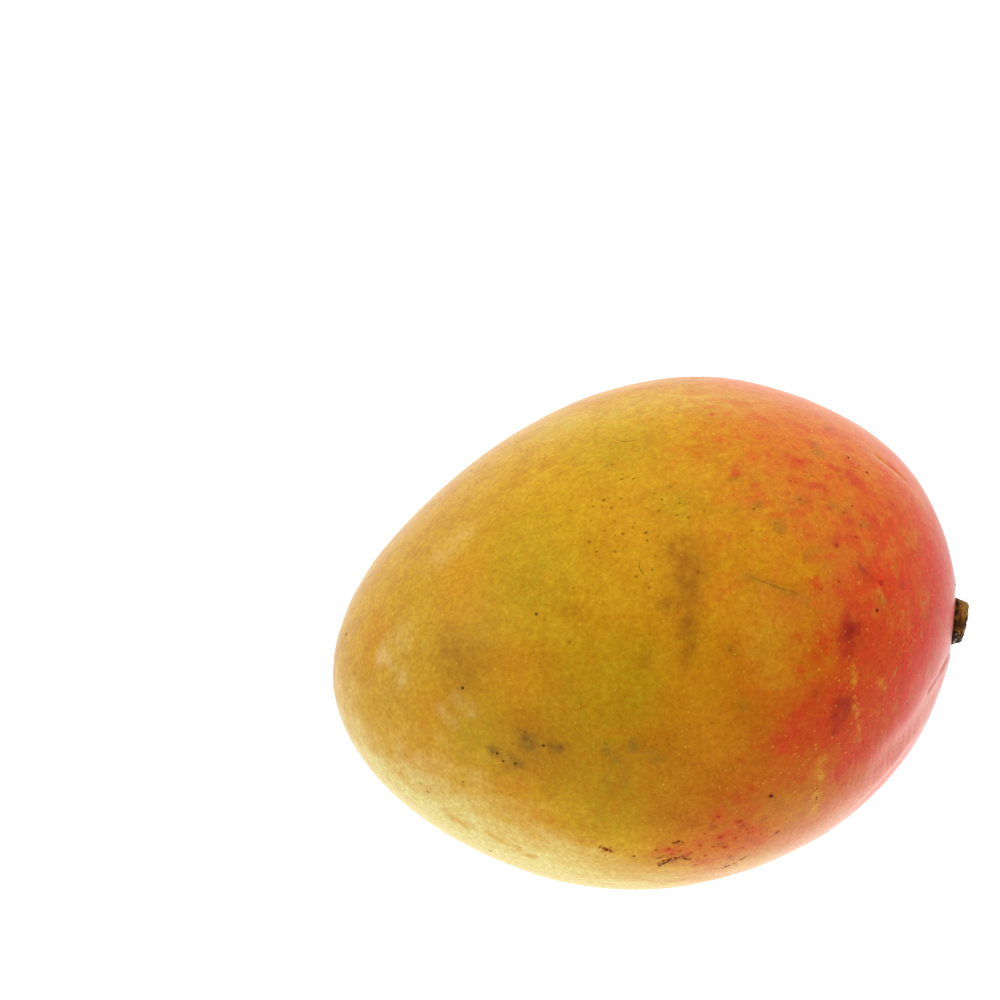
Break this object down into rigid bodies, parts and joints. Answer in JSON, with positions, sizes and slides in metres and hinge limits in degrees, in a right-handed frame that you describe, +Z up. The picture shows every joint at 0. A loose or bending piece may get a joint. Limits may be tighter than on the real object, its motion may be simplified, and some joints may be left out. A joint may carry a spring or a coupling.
{
  "type": "mango",
  "caption": "Whole ripe mango lying on one cheek, broad at the stem end, golden skin with a red blush and a short stub of its stem.",
  "frame": {"origin": "middle of the small flat spot under the lower cheek, where the fruit rests", "axes": "+X along the fruit towards its stem end, +Y level across the fruit, +Z up from the surface it rests on"},
  "size_m": [0.1213, 0.0991, 0.0915],
  "materials": {
    "skin": "smooth waxy fruit skin with a soft sheen, golden ochre with a red blush at the stem end",
    "stem": "dry brown bark, matt, with a dark broken end"
  },
  "bodies": {
    "root": {"fruit": "skin", "stem_stub": "stem"}
  },
  "joints": []
}
